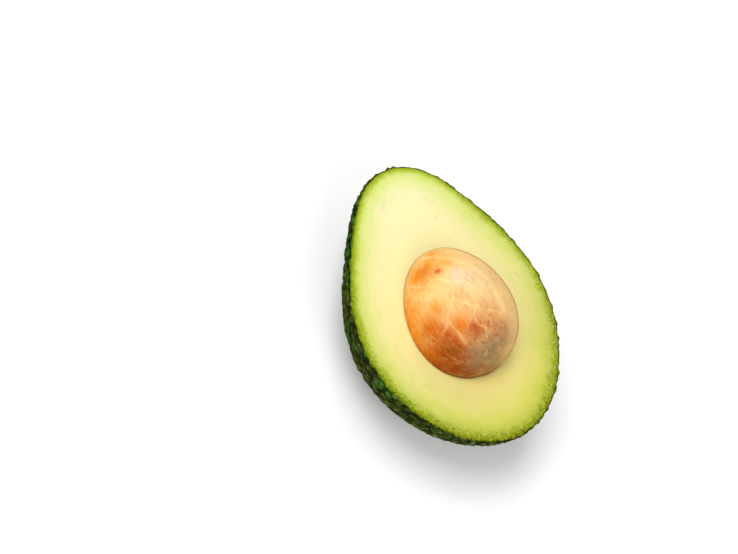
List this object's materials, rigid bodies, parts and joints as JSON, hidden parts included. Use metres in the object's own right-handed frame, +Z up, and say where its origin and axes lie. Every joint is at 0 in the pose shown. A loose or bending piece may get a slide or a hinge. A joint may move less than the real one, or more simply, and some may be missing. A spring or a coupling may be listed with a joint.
{
  "type": "avocado half",
  "caption": "Halved avocado with its seed, resting on its pebbled dark back with the pale green cut face up.",
  "frame": {"origin": "on the surface that the half rests on, under the middle of its length and width", "axes": "+X from the stem end to the blossom end, +Y to the left of that as seen from above, +Z up, out of the cut face"},
  "size_m": [0.0962, 0.0707, 0.0545],
  "materials": {
    "skin": "satin",
    "flesh": "satin",
    "seed": "satin",
    "stem_button": "matte"
  },
  "bodies": {
    "root": {"skin": "skin", "flesh": "flesh", "seed": "seed", "stem_button": "stem_button"}
  },
  "joints": []
}
